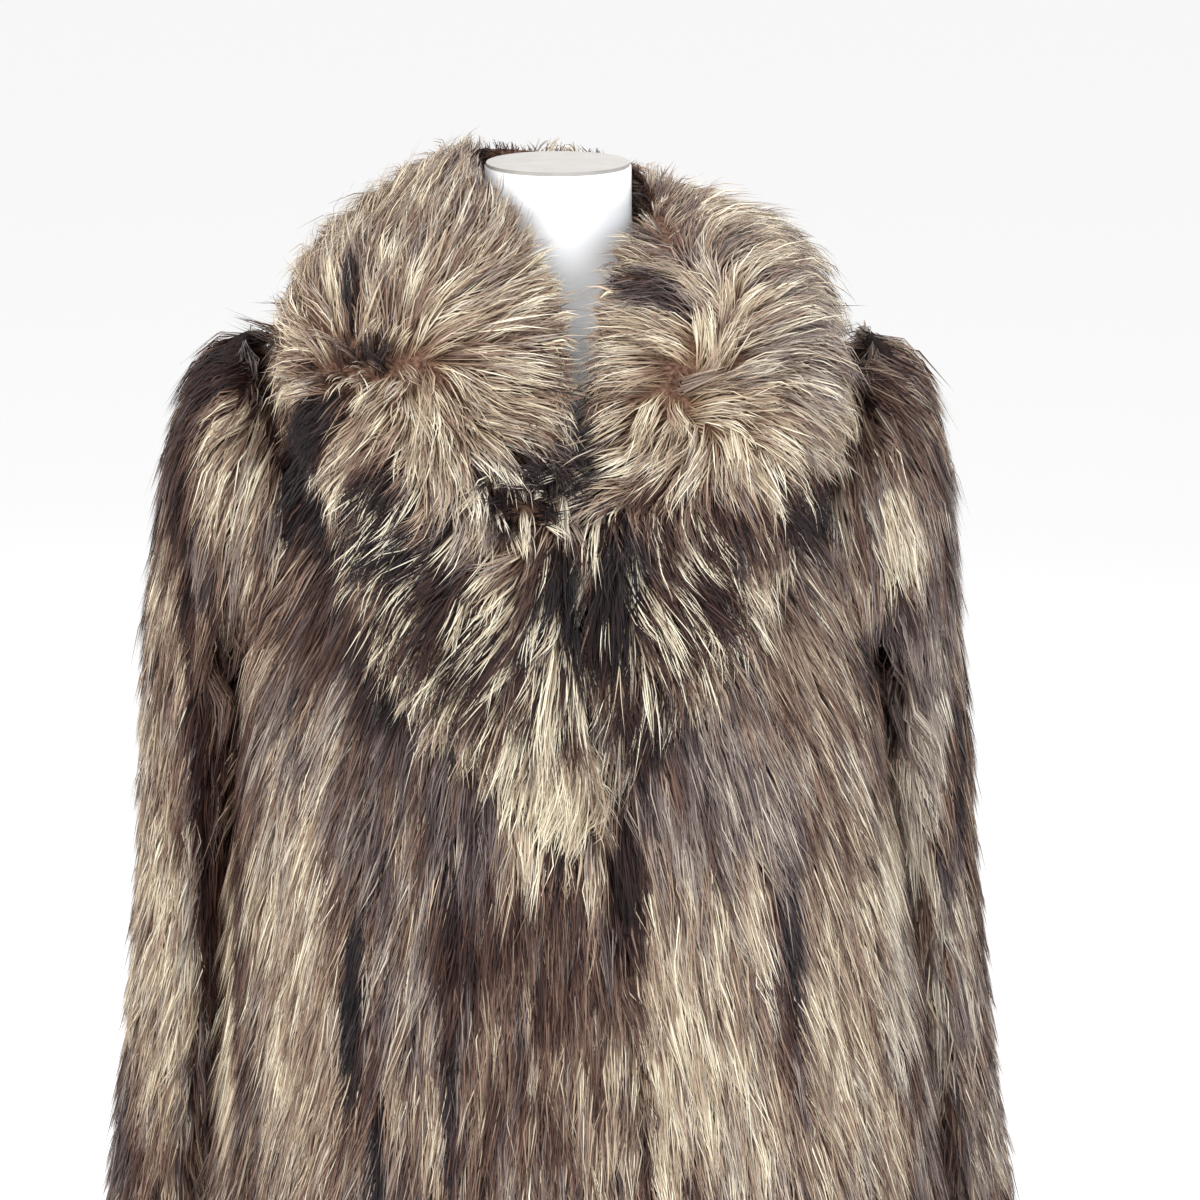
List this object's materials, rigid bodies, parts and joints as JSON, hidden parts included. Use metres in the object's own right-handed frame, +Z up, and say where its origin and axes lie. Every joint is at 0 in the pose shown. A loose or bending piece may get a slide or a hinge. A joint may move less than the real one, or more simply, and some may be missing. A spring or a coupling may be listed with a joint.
{
  "type": "fur coat on dress form",
  "caption": "Long fur coat with a deep shawl collar, hanging closed on a limbless dress form with a pole and a round foot.",
  "frame": {"origin": "the middle of the foot's underside, on the floor", "axes": "+Z up, the coat's front faces -Y, +X to the right seen from the front"},
  "size_m": [0.7492, 0.4931, 1.51],
  "materials": {
    "fur": "long brown fur, banded cream",
    "collar_fur": "long fur, brown at the root and cream towards the tip",
    "form_white": "gloss white",
    "cap_grey": "matt grey beige",
    "pole_steel": "brushed",
    "foot_paint": "white paint"
  },
  "bodies": {
    "root": {"front_right": "fur", "front_left": "fur", "back": "fur", "sleeve_right": "fur", "sleeve_left": "fur", "collar_right": "collar_fur", "collar_left": "collar_fur", "dress_form": "form_white", "neck_cap": "cap_grey", "pole": "pole_steel", "foot": "foot_paint"}
  },
  "joints": []
}
